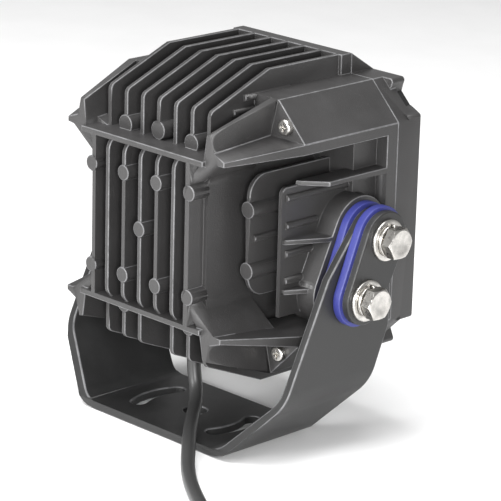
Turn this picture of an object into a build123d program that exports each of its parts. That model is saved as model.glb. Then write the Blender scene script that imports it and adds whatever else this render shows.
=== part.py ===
"""Square flood lamp in a tilting U-bracket: cast finned housing, bezel, light unit, mounts and lead.

Frame: millimetres, +Z up. The origin is the centre of the bracket's mounting hole on the underside
of its base. The light leaves along -Y, the cooling ribs face +Y, and the lamp tilts about X.
"""
from build123d import *
import os
from math import atan, degrees, hypot, isclose, pi, radians, tan

os.makedirs("parts", exist_ok=True)

# ---------------------------------------------------------------- driving dimensions
# bracket
plate = 5.0                  # bracket plate thickness
base_half_x = 55.0           # half width of the flat base
base_half_y = 34.0           # half depth of the flat base
bend_rise = 36.0             # height where the arms stand upright
bend_radius = 20.0           # outside radius of the four bends
hole_r = 6.75                # central mounting hole, M12 clearance
slot_r = 34.0                # radius of the two arc slots about the central hole
slot_half_angle = 26.0       # half angle that each arc slot spans
slot_width = 9.0
arm_front_z = 66.0           # where the front edge of an arm turns upright
arm_kink_z = 101.0           # where the rear edge of an arm turns towards the ear
arm_kink_y = -11.0

# tilt joint
pivot_y = -44.8
lamp_z = 119.5               # height of the lamp's centre line and of the tilt axis
clamp_dy = 14.4              # clamping bolt behind the pivot bolt
clamp_dz = 31.0              # clamping bolt below the pivot bolt
tilt_limit = 12.0            # degrees each way
bolt_r = 5.0                 # M10
sleeve_r = 7.0
ear_r = 15.0                 # rounded top of the arms
pad_thick = 5.0
pad_r_top = 17.5
pad_r_bottom = 16.0
clamp_thick = 4.5
clamp_r_top = 15.5
clamp_r_bottom = 14.0
washer_r = 11.5
washer_thick = 2.0
spring_r = 9.0
spring_thick = 2.5
spring_split = 1.5
hex_flats = 16.0
hex_high = 6.4
bolt_in_boss = 18.0          # thread length inside the housing

# housing casting
parting_y = -72.0            # joint between housing and bezel
flange_y = -64.0             # rear face of the housing's front flange
plate_front_y = -54.0        # floor of the light chamber
plate_rear_y = -46.0         # root of the cooling ribs
core_floor_y = -26.0         # floor between the core ribs
core_rear_y = 44.5           # rear edges of the core ribs
block_y = 0.0                # rear faces of the four corner blocks
body_half_x = 79.0
body_half_z = 76.5
body_chamfer = 20.5
tub_half = 71.0
core_half_x = 41.5
core_half_z = 48.0
core_step_y = 33.5           # the core's side walls step inwards behind this
core_step = 3.0
wall = 3.0
rib_pitch = 13.0
rib_thick = 2.7
rib_round = 8.0
fin_rear_y = 31.5
fin_rear_z = 70.5
fin_ridge_y = -11.0
fin_ridge_z = 88.0
crown_half_x = 42.5          # raised middle of the flange and bezel
boss_r = 4.3                 # ejector bosses on the core ribs
boss_z = 28.8
foot_boss_r = 5.2            # ejector bosses at the feet of the top and bottom fins
foot_boss_z = 51.0
chamber_half = 66.0          # light chamber
chamber_chamfer = 24.0
driver_half_x = 22.0         # pocket for the driver board
driver_half_z = 38.0
driver_floor_y = -33.0
mount_boss_r = 20.0
plate2_x = 52.0              # inner pair of side plates
plate3_x = 65.0              # outer pair of side plates
plate2_rear_y = 14.0
plate3_rear_y = 3.0
shelf_rear_y = -20.0         # rear end of the side shelves at the mounting boss
top_shelf_y = -8.0           # the upper side shelf starts here
foot_boss_long = 26.0
bead_r = 2.0                 # half-round beads along the side plates and the outer fins
bead_long = 23.0
vent_x = 19.5
vent_y = -59.0
vent_r = 3.0
lip_half_x = 67.0            # ends of the bezel's top and bottom lips
lip_half_z = 58.0            # ends of its side lips
lip_thick = 8.0
lip_slant = 3.5              # how far the ends of the lips slope back
lip_round = 2.0
lip_notch = 3.0              # how far the bezel's corners stand inside the housing's

# front
bezel_front_y = -90.0
bezel_corner_y = -84.0       # the corners of the bezel end here
bezel_ring_y = -80.0         # its lips and side bars start here
lens_half = 71.0
lens_chamfer = 26.0
lens_thick = 5.0
gasket_thick = 1.0
window_half = 61.0           # opening in the bezel
lens_play = 0.3

# light unit
led_pitch = 28.0
led_rows = 4
cup_r_front = 12.5
cup_r_rear = 4.0
tray_half = 59.0
tray_chamfer = 14.0
tray_thick = 14.0
board_thick = 1.6
pad_film = 0.5
led_size = 5.0
led_high = 0.9
unit_screw_r = 1.5
driver_thick = 1.6
driver_stand = 3.0
unit_screw_depth = 6.0
driver_screw_z = 30.0
driver_screw_depth = 5.0
driver_board_half_z = 33.8
terminal_z = -24.0           # foot of the terminal block on the driver board
terminal_drop = 5.5          # its clamp hangs this much lower, over the lead
lead_end_y = -42.0           # the lead ends at the terminal block

# fasteners and fits
screw_r = 2.5                # case screws, M5
screw_head_r = 4.4
screw_head_high = 3.2
screw_x = 65.5
screw_z = 63.0
screw_in_bezel = 11.0
clearance = 0.3              # screw in a through hole
thread_gap = 0.05            # screw in its thread
running_gap = 0.05           # sleeve in the pivot hole, radial
slot_gap = 0.35              # sleeve in the clamping slot, each side
face_gap = 0.05              # pads beside the arms

# cable entry
gland_y = 2.3
gland_thread_r = 8.0
gland_hex = 20.0
gland_hex_high = 5.0
gland_neck_r = 7.4
gland_neck_high = 7.0
gland_nut_flats = 18.0
gland_nut_high = 12.0
gland_thread_long = 8.0
duct_half_x = 9.0
duct_rise = 12.0             # height of the level part of the duct above the cable entry
duct_r = 4.2                 # upright part of the duct
duct_level_r = 4.6           # level part of the duct
gland_seal_high = 2.5
lead_strip = 7.0             # the lead keeps its sheath this far above the cable entry
lead_r = 1.9
lead_bend_r = 4.4
cable_r = 3.9

# connector
plug_long = 34.0
plug_wide = 17.0
plug_high = 15.0
plug_wall = 1.8
plug_mouth = 17.0            # depth of the open front
plug_seal_long = 6.0
socket_r = 1.6
socket_apart = 6.0
socket_long = 12.0

# ---------------------------------------------------------------- derived places
mount_boss_x = body_half_x                          # outer face of the two mounting bosses
bracket_half_x = mount_boss_x + pad_thick + plate   # outer face of an arm
arm_front_y = pivot_y - ear_r
clamp_y = pivot_y + clamp_dy
arm_in_x = bracket_half_x - plate
pad_in_x = arm_in_x - face_gap
pad_out_x = bracket_half_x + face_gap
clamp_x = pad_out_x + pad_thick
washer_x = clamp_x + clamp_thick
spring_x = washer_x + washer_thick
head_x = spring_x + spring_thick
bolt_tip_x = mount_boss_x - bolt_in_boss
clamp_arc_r = hypot(clamp_dy, clamp_dz)
sleeve_long = clamp_x - mount_boss_x
board_y = plate_front_y - pad_film
tray_y = board_y - board_thick
lens_y = parting_y - gasket_thick
driver_y = driver_floor_y - driver_stand
gland_z = lamp_z - core_half_z
gland_nut_z = gland_z - gland_hex_high
gland_end_z = gland_nut_z - gland_nut_high
cup_slope = degrees(atan((cup_r_front - cup_r_rear) / tray_thick))


def facing(y):
    """Plane across the lamp at this y, with its own x along X and its own y up from the lamp's centre."""
    return Plane(origin=(0, y, lamp_z), x_dir=(1, 0, 0), z_dir=(0, -1, 0))


def side(x):
    """Plane along the lamp at this x, with its own x along Y and its own y up from the lamp's centre."""
    return Plane(origin=(x, 0, lamp_z), x_dir=(0, 1, 0), z_dir=(1, 0, 0))


def teardrop(r_top, r_bottom):
    """Outline around the pivot bolt and the clamping bolt."""
    with Locations((pivot_y, 0)):
        Circle(r_top)
    with Locations((clamp_y, -clamp_dz)):
        Circle(r_bottom)
    make_hull()


def bolt_pair(radius):
    """Two round holes on the pivot bolt and the clamping bolt."""
    with Locations((pivot_y, 0), (clamp_y, -clamp_dz)):
        Circle(radius)


def save(builder, label):
    """Label the finished piece and write it under its own name."""
    builder.part.label = label
    export_step(builder.part, f"parts/{label}.step")


# ---------------------------------------------------------------- bracket
with BuildPart() as bracket:
    with BuildSketch(Plane.XZ.offset(-2 * base_half_y)):
        with BuildLine():
            FilletPolyline(
                (-bracket_half_x, lamp_z + ear_r),
                (-bracket_half_x, bend_rise),
                (-base_half_x, 0),
                (base_half_x, 0),
                (bracket_half_x, bend_rise),
                (bracket_half_x, lamp_z + ear_r),
                radius=bend_radius,
            )
            offset(amount=plate, side=Side.LEFT)
        make_face()
    extrude(amount=4 * base_half_y)
    # side outline: an arm's upper part is the hull of its rounded ear and the corners below it
    with BuildSketch(Plane.YZ):
        with Locations((pivot_y, lamp_z)):
            Circle(ear_r)
        Polygon(
            (arm_kink_y, arm_kink_z),
            (arm_front_y, arm_kink_z),
            (arm_front_y, arm_front_z),
            align=None,
        )
        make_hull()
        Polygon(
            (-base_half_y, 0),
            (base_half_y, 0),
            (base_half_y, plate),
            (arm_kink_y, arm_kink_z),
            (arm_front_y, arm_front_z),
            (-base_half_y, plate),
            align=None,
        )
    extrude(amount=bracket_half_x, both=True, mode=Mode.INTERSECT)
    with BuildSketch(Plane.XY):
        Circle(hole_r)
        with BuildLine(mode=Mode.PRIVATE) as slot_right:
            CenterArc((0, 0), slot_r, -slot_half_angle, 2 * slot_half_angle)
        SlotArc(slot_right.edge(), slot_width)
        with BuildLine(mode=Mode.PRIVATE) as slot_left:
            CenterArc((0, 0), slot_r, 180 - slot_half_angle, 2 * slot_half_angle)
        SlotArc(slot_left.edge(), slot_width)
    extrude(amount=plate, mode=Mode.SUBTRACT)
    with BuildSketch(side(-bracket_half_x)):
        with Locations((pivot_y, 0)):
            Circle(sleeve_r + running_gap)
        bolt_angle = -90 + Vector(clamp_dz, clamp_dy, 0).get_angle(Vector(1, 0, 0))
        with BuildLine(mode=Mode.PRIVATE) as travel:
            CenterArc((pivot_y, 0), clamp_arc_r, bolt_angle - tilt_limit, 2 * tilt_limit)
        SlotArc(travel.edge(), 2 * (sleeve_r + slot_gap))
    extrude(amount=2 * bracket_half_x, mode=Mode.SUBTRACT)
save(bracket, "bracket")


# ---------------------------------------------------------------- housing casting
def octagon(half_x, half_z, corner, mode=Mode.ADD):
    """Rectangle with four chamfered corners."""
    Polygon(
        (half_x, half_z - corner),
        (half_x - corner, half_z),
        (corner - half_x, half_z),
        (-half_x, half_z - corner),
        (-half_x, corner - half_z),
        (corner - half_x, -half_z),
        (half_x - corner, -half_z),
        (half_x, corner - half_z),
        align=None,
        mode=mode,
    )


def web(rear_y, rear, front):
    """Casting web between an outline at its rear end and one on a corner block."""
    with BuildSketch(facing(rear_y)) as rear_end:
        with BuildLine():
            Polyline(*rear, close=True)
        make_face()
    with BuildSketch(facing(block_y)) as front_end:
        with BuildLine():
            Polyline(*front, close=True)
        make_face()
    loft([rear_end.sketch, front_end.sketch], ruled=True)


wing_rear_y = 42.0
strut_in_x = core_half_x - core_step - wall
strut_out_x = core_half_x - core_step
wing_inner = (46, 47)        # root of both wings at their rear end
wing_outer = (53.6, 52.8)
groove_inner = (48, 50)      # the same root on the corner block
groove_outer = (core_half_x + 12, core_half_z + 8)
with BuildPart() as quarter:
    # upright and level wings
    web(
        wing_rear_y,
        [wing_inner, wing_outer, (51, 62.5), (48.2, 62)],
        [groove_inner, groove_outer, (body_half_x - body_chamfer, body_half_z), (53, body_half_z)],
    )
    web(
        wing_rear_y,
        [wing_inner, wing_outer, (61.5, 50), (61.5, 47)],
        [groove_inner, groove_outer, (body_half_x, body_half_z - body_chamfer), (body_half_x, 50)],
    )
    # strut that carries both wings on the core's side wall
    web(
        wing_rear_y,
        [(strut_in_x, 35), (strut_out_x, 33.5), (57.5, 47.4), wing_outer, (46.5, core_half_z)],
        [(strut_in_x, 35), (strut_out_x, 33.5), (60, 50.5), groove_outer, (46.5, 50)],
    )
    # hollow throat between the core's side wall and the level wing
    web(
        core_step_y,
        [(38, 31), (core_half_x, 31), (43.5, 39), (47, 44.5), (52, 47.3), (60, 47.9), wing_outer, (38, 48)],
        [(38, 31), (core_half_x, 31), (43.5, 40), (47, 46), (52, 49.8), (62, 50.5), groove_outer, (38, 48)],
    )
    with BuildSketch(facing(block_y)):
        with BuildLine():
            Polyline(
                (core_half_x - 2, body_half_z),
                (body_half_x - body_chamfer, body_half_z),
                (body_half_x, body_half_z - body_chamfer),
                (body_half_x, 50),
                groove_inner,
                (48, 66),
                (core_half_x - 2, 66),
                close=True,
            )
        make_face()
    extrude(amount=block_y - flange_y)
    # the core's top wall runs out to the wings
    with BuildSketch(facing(core_rear_y)):
        with BuildLine():
            Polyline(
                (strut_in_x, core_half_z - wall),
                (48, core_half_z - wall),
                (48, core_half_z),
                (strut_in_x, core_half_z),
                close=True,
            )
        make_face()
    extrude(amount=core_rear_y - core_step_y)
    mirror(about=Plane.YZ)
    mirror(about=Plane.XY.offset(lamp_z))

with BuildPart() as mount_side:
    # teardrop boss that carries the two bolts
    with BuildSketch(side(bolt_tip_x - wall)):
        teardrop(mount_boss_r, mount_boss_r)
    extrude(amount=mount_boss_x - bolt_tip_x + wall)
    # inner side plate, its lower edge shorter than its upper one
    with BuildSketch(side(plate2_x - rib_thick / 2)) as inner_plate:
        with Locations(((plate2_rear_y + plate_rear_y) / 2, 2)):
            Rectangle(plate2_rear_y - plate_rear_y, 68)
        fillet(inner_plate.vertices().group_by(Axis.X)[-1], 2 * rib_round - 4)
    extrude(amount=rib_thick)
    # outer side plate
    with BuildSketch(side(plate3_x - rib_thick / 2)) as outer_plate:
        with Locations(((plate3_rear_y + flange_y) / 2, -6)):
            Rectangle(plate3_rear_y - flange_y, 72)
        fillet(outer_plate.vertices().group_by(Axis.X)[-1].sort_by(Axis.Y)[-1], 4)
    extrude(amount=rib_thick)
    # shelves from the outer plate to the flange and the mounting boss
    for height, rear_y in ((31.0, top_shelf_y), (0.0, plate3_rear_y), (-28.0, plate3_rear_y)):
        with BuildSketch(Plane.XY.offset(lamp_z + height)):
            with BuildLine():
                Polyline(
                    (plate3_x, rear_y),
                    (plate3_x, flange_y),
                    (mount_boss_x, flange_y),
                    (mount_boss_x, shelf_rear_y),
                    (plate3_x + 3, rear_y - 2),
                    close=True,
                )
            make_face()
        extrude(amount=rib_thick / 2, both=True)
    # half-round beads along the outer faces of both plates
    with BuildSketch(facing(plate3_rear_y - 3)):
        with Locations((plate3_x + rib_thick / 2, 24)):
            Circle(bead_r)
    extrude(amount=plate3_rear_y - 3 - flange_y)
    with BuildSketch(facing(plate3_rear_y - 3)):
        with Locations(
            (plate3_x + rib_thick / 2, 8.7),
            (plate3_x + rib_thick / 2, -7),
            (plate3_x + rib_thick / 2, -22),
        ):
            Circle(bead_r)
    extrude(amount=bead_long)
    with BuildSketch(facing(plate2_rear_y - 3)):
        with Locations((plate2_x + rib_thick / 2, 1)):
            Circle(bead_r)
    extrude(amount=bead_long)
    # round ejector bosses on the inner plate
    with BuildSketch(facing(plate2_rear_y + 0.5)):
        with Locations((plate2_x, 17), (plate2_x, -17)):
            Circle(boss_r + 0.4)
    extrude(amount=24)

with BuildPart() as housing:
    # flange, chamber tub and back plate
    with BuildSketch(facing(flange_y)):
        octagon(body_half_x, body_half_z, body_chamfer)
        Rectangle(2 * crown_half_x, 2 * fin_ridge_z)
    extrude(amount=flange_y - parting_y)
    with BuildSketch(facing(plate_rear_y)):
        octagon(tub_half, tub_half, body_chamfer)
    extrude(amount=plate_rear_y - flange_y)
    # centre block behind the driver pocket
    with BuildSketch(facing(core_floor_y)):
        Rectangle(2 * core_half_x, 2 * core_half_z)
    extrude(amount=core_floor_y - plate_rear_y)
    # core: side walls with their step, top and bottom walls
    with BuildSketch(facing(core_step_y)):
        Rectangle(2 * core_half_x, 2 * core_half_z)
        Rectangle(2 * (core_half_x - wall - core_step), 2 * (core_half_z - wall), mode=Mode.SUBTRACT)
    extrude(amount=core_step_y - core_floor_y)
    with BuildSketch(facing(core_rear_y)):
        Rectangle(2 * (core_half_x - core_step), 2 * core_half_z)
        Rectangle(2 * (core_half_x - wall - core_step), 2 * (core_half_z - wall), mode=Mode.SUBTRACT)
    extrude(amount=core_rear_y - core_step_y)
    # five inner core ribs, their rear corners rounded
    for k in range(-2, 3):
        with BuildSketch(side(rib_pitch * k - rib_thick / 2)) as rib_side:
            with Locations(((core_floor_y + core_rear_y) / 2, 0)):
                Rectangle(core_rear_y - core_floor_y, 2 * core_half_z - wall)
            fillet(rib_side.vertices().group_by(Axis.X)[-1], rib_round)
        extrude(amount=rib_thick)
    # top and bottom fins; the lowest middle one is left out for the cable entry
    for k in range(-3, 4):
        for sign in (1, -1):
            if k == 0 and sign == -1:
                continue
            with BuildSketch(side(rib_pitch * k - rib_thick / 2)) as fin_side:
                with BuildLine():
                    Polyline(
                        (flange_y, sign * (core_half_z - wall)),
                        (flange_y, sign * fin_ridge_z),
                        (fin_ridge_y, sign * fin_ridge_z),
                        (fin_rear_y, sign * fin_rear_z),
                        (fin_rear_y, sign * (core_half_z - wall)),
                        close=True,
                    )
                make_face()
                fillet(fin_side.vertices().sort_by_distance((fin_rear_y, sign * fin_rear_z))[0], 4)
            extrude(amount=rib_thick)
    add(quarter.part)
    add(mount_side.part)
    add(mount_side.part.mirror(Plane.YZ))
    # round ejector bosses on the core ribs, on its side walls and at the feet of the fins
    with BuildSketch(facing(core_rear_y + 0.5)):
        with GridLocations(rib_pitch * 2, 2 * boss_z, 2, 2):
            Circle(boss_r)
        Circle(boss_r)
    extrude(amount=core_rear_y - core_floor_y + 2)
    with BuildSketch(facing(core_rear_y + 0.5)):
        with GridLocations(2 * (core_half_x - core_step), 2 * boss_z, 2, 2):
            Circle(boss_r)
    extrude(amount=core_rear_y + 0.5 - core_step_y)
    with BuildSketch(facing(fin_rear_y + 0.5)):
        with Locations(
            (-2 * rib_pitch, foot_boss_z),
            (0, foot_boss_z + 2),
            (2 * rib_pitch, foot_boss_z),
            (-2 * rib_pitch, -foot_boss_z),
            (2 * rib_pitch, -foot_boss_z),
        ):
            Circle(foot_boss_r)
    extrude(amount=foot_boss_long)
    # half-round beads along the outermost fins, above and below
    with BuildSketch(facing(fin_rear_y - 23.5)):
        with GridLocations(6 * rib_pitch + rib_thick, 2 * 75, 2, 2):
            Circle(bead_r)
    extrude(amount=1.5 * bead_long)
    with BuildSketch(facing(fin_rear_y - 15.5)):
        with GridLocations(6 * rib_pitch + rib_thick, 2 * 68, 2, 2):
            Circle(bead_r)
    extrude(amount=bead_long)
    # duct for the lead, from the cable entry to the driver pocket
    with BuildSketch(facing(gland_y + duct_half_x)):
        with Locations((0, -core_half_z + duct_half_x)):
            Rectangle(2 * duct_half_x, 2 * duct_half_x)
    extrude(amount=gland_y + duct_half_x - core_floor_y)
    # light chamber and driver pocket
    with BuildSketch(facing(parting_y)):
        octagon(chamber_half, chamber_half, chamber_chamfer)
    extrude(amount=parting_y - plate_front_y, mode=Mode.SUBTRACT)
    with BuildSketch(facing(plate_front_y)):
        Rectangle(2 * driver_half_x, 2 * driver_half_z)
    extrude(amount=plate_front_y - driver_floor_y, mode=Mode.SUBTRACT)
    # case screws, light unit screws and the driver's screws
    with BuildSketch(facing(block_y)):
        with GridLocations(2 * screw_x, 2 * screw_z, 2, 2):
            Circle(screw_r + clearance)
    extrude(amount=block_y - parting_y, mode=Mode.SUBTRACT)
    with BuildSketch(facing(plate_front_y)):
        with GridLocations(2 * led_pitch, 2 * led_pitch, 2, 2):
            Circle(unit_screw_r + thread_gap)
    extrude(amount=-unit_screw_depth, mode=Mode.SUBTRACT)
    with BuildSketch(facing(driver_floor_y)):
        with Locations((0, driver_screw_z), (0, -driver_screw_z)):
            Circle(unit_screw_r + thread_gap)
    extrude(amount=-driver_screw_depth, mode=Mode.SUBTRACT)
    # threads for the pivot and clamping bolts
    with BuildSketch(side(mount_boss_x)):
        bolt_pair(bolt_r + thread_gap)
    extrude(amount=-bolt_in_boss, mode=Mode.SUBTRACT)
    with BuildSketch(side(-mount_boss_x)):
        bolt_pair(bolt_r + thread_gap)
    extrude(amount=bolt_in_boss, mode=Mode.SUBTRACT)
    # cable entry, its duct and the vent hole
    with BuildSketch(Plane.XY.offset(gland_z)):
        with Locations((0, gland_y)):
            Circle(gland_thread_r + thread_gap)
    extrude(amount=gland_thread_long, mode=Mode.SUBTRACT)
    with BuildSketch(Plane.XY.offset(gland_z)):
        with Locations((0, gland_y)):
            Circle(duct_r)
    extrude(amount=duct_rise, mode=Mode.SUBTRACT)
    with BuildSketch(Plane.XZ.offset(-gland_y - duct_level_r)):
        with Locations((0, gland_z + duct_rise)):
            Circle(duct_level_r)
    extrude(amount=gland_y + duct_level_r - driver_floor_y, mode=Mode.SUBTRACT)
    with BuildSketch(Plane.XY.offset(lamp_z - tub_half)):
        with Locations((vent_x, vent_y)):
            Circle(vent_r + thread_gap)
    extrude(amount=tub_half - chamber_half, mode=Mode.SUBTRACT)
save(housing, "housing")

# ---------------------------------------------------------------- bezel, gasket and lens
with BuildPart() as bezel:
    with BuildSketch(facing(parting_y)):
        octagon(body_half_x, body_half_z, body_chamfer)
    extrude(amount=parting_y - bezel_corner_y)
    with BuildSketch(facing(bezel_ring_y)) as ring:
        octagon(body_half_x, body_half_z, body_chamfer + lip_notch)
        for sign in (1, -1):
            Polygon(
                (-lip_half_x, sign * body_half_z),
                (lip_half_x, sign * body_half_z),
                (lip_half_x - lip_slant, sign * (body_half_z - lip_thick)),
                (lip_slant - lip_half_x, sign * (body_half_z - lip_thick)),
                align=None,
            )
            Polygon(
                (sign * body_half_x, -lip_half_z),
                (sign * body_half_x, lip_half_z),
                (sign * (body_half_x - lip_thick), lip_half_z + lip_slant),
                (sign * (body_half_x - lip_thick), -lip_half_z - lip_slant),
                align=None,
            )
        tips = ring.vertices().filter_by(lambda tip: isclose(abs(tip.X), lip_half_x))
        fillet(tips, lip_round)
        ends = ring.vertices().filter_by(lambda end: isclose(abs(end.Y), lip_half_z))
        fillet(ends, lip_round)
    extrude(amount=bezel_ring_y - bezel_front_y)
    # crowns that run the fins' height down to the front edge
    for sign in (1, -1):
        with BuildSketch(side(-crown_half_x)):
            with BuildLine():
                Polyline(
                    (parting_y, sign * (body_half_z - lip_thick)),
                    (parting_y, sign * fin_ridge_z),
                    (bezel_front_y, sign * body_half_z),
                    (bezel_front_y, sign * (body_half_z - lip_thick)),
                    close=True,
                )
            make_face()
        extrude(amount=2 * crown_half_x)
    with BuildSketch(facing(parting_y)):
        octagon(lens_half + lens_play, lens_half + lens_play, lens_chamfer)
    extrude(amount=gasket_thick + lens_thick, mode=Mode.SUBTRACT)
    with BuildSketch(facing(parting_y)):
        octagon(window_half, window_half, chamber_chamfer - 2)
    extrude(amount=parting_y - bezel_front_y, mode=Mode.SUBTRACT)
    with BuildSketch(facing(parting_y)):
        with GridLocations(2 * screw_x, 2 * screw_z, 2, 2):
            Circle(screw_r + thread_gap)
    extrude(amount=screw_in_bezel, mode=Mode.SUBTRACT)
    chamfer(bezel.faces().sort_by(Axis.Y)[0].inner_wires()[0].edges(), 2)
save(bezel, "front_bezel")

with BuildPart() as gasket:
    with BuildSketch(facing(parting_y)):
        octagon(lens_half, lens_half, lens_chamfer)
        octagon(chamber_half, chamber_half, chamber_chamfer, Mode.SUBTRACT)
    extrude(amount=gasket_thick)
save(gasket, "lens_gasket")

with BuildPart() as lens:
    with BuildSketch(facing(lens_y)):
        octagon(lens_half, lens_half, lens_chamfer)
    extrude(amount=lens_thick)
save(lens, "lens")

# ---------------------------------------------------------------- light unit
with BuildPart() as thermal_pad:
    with BuildSketch(facing(plate_front_y)):
        octagon(tray_half, tray_half, tray_chamfer)
        with GridLocations(2 * led_pitch, 2 * led_pitch, 2, 2):
            Circle(unit_screw_r + clearance, mode=Mode.SUBTRACT)
    extrude(amount=pad_film)
save(thermal_pad, "thermal_pad")

with BuildPart() as led_board:
    with BuildSketch(facing(board_y)):
        octagon(tray_half, tray_half, tray_chamfer)
        with GridLocations(2 * led_pitch, 2 * led_pitch, 2, 2):
            Circle(unit_screw_r + clearance, mode=Mode.SUBTRACT)
    extrude(amount=board_thick)
save(led_board, "led_board")

with BuildPart() as led_chips:
    with BuildSketch(facing(tray_y)):
        with GridLocations(led_pitch, led_pitch, led_rows, led_rows):
            Rectangle(led_size, led_size)
    extrude(amount=led_high)
save(led_chips, "led_chips")

with BuildPart() as tray:
    with BuildSketch(facing(tray_y)):
        octagon(tray_half, tray_half, tray_chamfer)
    extrude(amount=tray_thick)
    with BuildSketch(facing(tray_y)):
        with GridLocations(led_pitch, led_pitch, led_rows, led_rows):
            Circle(cup_r_rear)
    extrude(amount=tray_thick, taper=-cup_slope, mode=Mode.SUBTRACT)
    with BuildSketch(facing(tray_y)):
        with GridLocations(2 * led_pitch, 2 * led_pitch, 2, 2):
            Circle(unit_screw_r + clearance)
    extrude(amount=tray_thick, mode=Mode.SUBTRACT)
save(tray, "reflector_tray")

with BuildPart() as unit_screws:
    with BuildSketch(facing(tray_y - tray_thick)):
        with GridLocations(2 * led_pitch, 2 * led_pitch, 2, 2):
            Circle(unit_screw_r)
    extrude(amount=-(plate_front_y - tray_y + tray_thick + unit_screw_depth - 0.5))
    with BuildSketch(facing(tray_y - tray_thick)):
        with GridLocations(2 * led_pitch, 2 * led_pitch, 2, 2):
            Circle(2 * unit_screw_r)
    extrude(amount=unit_screw_r)
save(unit_screws, "light_unit_screws")

# ---------------------------------------------------------------- driver
with BuildPart() as driver_board:
    with BuildSketch(facing(driver_y)):
        Rectangle(2 * driver_half_x - 3, 2 * driver_board_half_z)
        with Locations((0, driver_screw_z), (0, -driver_screw_z)):
            Circle(unit_screw_r + clearance, mode=Mode.SUBTRACT)
    extrude(amount=driver_thick)
    with BuildSketch(facing(driver_floor_y)):
        with Locations((0, driver_screw_z), (0, -driver_screw_z)):
            Circle(unit_screw_r + 1.2)
            Circle(unit_screw_r + clearance, mode=Mode.SUBTRACT)
    extrude(amount=driver_stand)
save(driver_board, "driver_board")

driver_face_y = driver_y - driver_thick
with BuildPart() as driver_parts:
    with BuildSketch(facing(driver_face_y)):
        with Locations((-9, 14), (9, 14)):
            Circle(7)
        with Locations((-9, -4), (9, -4), (0, -15)):
            Rectangle(9, 7)
    extrude(amount=9)
    with BuildSketch(facing(driver_face_y)):
        with Locations((0, terminal_z)):
            Rectangle(12, 6)
    extrude(amount=driver_face_y - lead_end_y)
    with BuildSketch(facing(lead_end_y)):
        with Locations((0, terminal_z - terminal_drop)):
            Rectangle(12, 16)
    extrude(amount=7)
save(driver_parts, "driver_components")

with BuildPart() as driver_screws:
    with BuildSketch(facing(driver_face_y)):
        with Locations((0, driver_screw_z), (0, -driver_screw_z)):
            Circle(unit_screw_r)
    extrude(amount=-(driver_floor_y - driver_face_y + driver_screw_depth - 0.5))
    with BuildSketch(facing(driver_face_y)):
        with Locations((0, driver_screw_z), (0, -driver_screw_z)):
            Circle(2 * unit_screw_r - 0.4)
    extrude(amount=unit_screw_r)
save(driver_screws, "driver_screws")

# ---------------------------------------------------------------- case screws and vent
with BuildPart() as case_screws:
    with BuildSketch(facing(block_y)):
        with GridLocations(2 * screw_x, 2 * screw_z, 2, 2):
            Circle(screw_r)
    extrude(amount=block_y - parting_y + screw_in_bezel - 1)
    with BuildSketch(facing(block_y + screw_head_high)):
        with GridLocations(2 * screw_x, 2 * screw_z, 2, 2):
            Circle(screw_head_r)
    extrude(amount=screw_head_high)
    fillet(case_screws.faces().group_by(Axis.Y)[-1].edges(), 1.2)
    with BuildSketch(facing(block_y + screw_head_high)):
        with GridLocations(2 * screw_x, 2 * screw_z, 2, 2):
            Rectangle(4.4, 1.0)
            Rectangle(1.0, 4.4)
    extrude(amount=1.6, mode=Mode.SUBTRACT)
save(case_screws, "case_screws")

with BuildPart() as vent_plug:
    with BuildSketch(Plane.XY.offset(lamp_z - tub_half)):
        with Locations((vent_x, vent_y)):
            Circle(vent_r)
    extrude(amount=tub_half - chamber_half)
    with BuildSketch(Plane.XY.offset(lamp_z - tub_half)):
        with Locations((vent_x, vent_y)):
            Circle(vent_r + 1.8)
    extrude(amount=-2.5)
save(vent_plug, "vent_plug")

# ---------------------------------------------------------------- cable entry
entry = Location((0, gland_y, 0))
with BuildPart() as gland_body:
    with BuildSketch(Plane.XY.offset(gland_nut_z)):
        with Locations(entry):
            RegularPolygon(gland_hex / 2, 6, major_radius=False, rotation=30)
    extrude(amount=gland_hex_high)
    with BuildSketch(Plane.XY.offset(gland_z)):
        with Locations(entry):
            Circle(gland_thread_r)
    extrude(amount=gland_thread_long)
    with BuildSketch(Plane.XY.offset(gland_nut_z)):
        with Locations(entry):
            Circle(gland_neck_r)
    extrude(amount=-gland_neck_high)
    with BuildSketch(Plane.XY.offset(gland_nut_z - gland_neck_high)):
        with Locations(entry):
            Circle(cable_r + thread_gap)
    extrude(amount=gland_neck_high + gland_hex_high + gland_thread_long, mode=Mode.SUBTRACT)
save(gland_body, "gland_body")

with BuildPart() as gland_nut:
    with BuildSketch(Plane.XY.offset(gland_nut_z)):
        with Locations(entry):
            RegularPolygon(gland_nut_flats / 2, 6, major_radius=False, rotation=30)
    extrude(amount=-gland_nut_high)
    fillet(gland_nut.faces().sort_by(Axis.Z)[0].edges(), 1.5)
    with BuildSketch(Plane.XY.offset(gland_nut_z)):
        with Locations(entry):
            Circle(gland_neck_r + thread_gap)
    extrude(amount=-gland_neck_high - gland_seal_high, mode=Mode.SUBTRACT)
    with BuildSketch(Plane.XY.offset(gland_nut_z)):
        with Locations(entry):
            Circle(cable_r + thread_gap)
    extrude(amount=-gland_nut_high, mode=Mode.SUBTRACT)
save(gland_nut, "gland_nut")

with BuildPart() as gland_seal:
    with BuildSketch(Plane.XY.offset(gland_nut_z - gland_neck_high)):
        with Locations(entry):
            Circle(gland_neck_r)
            Circle(cable_r + thread_gap, mode=Mode.SUBTRACT)
    extrude(amount=-gland_seal_high)
save(gland_seal, "gland_seal")

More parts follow.
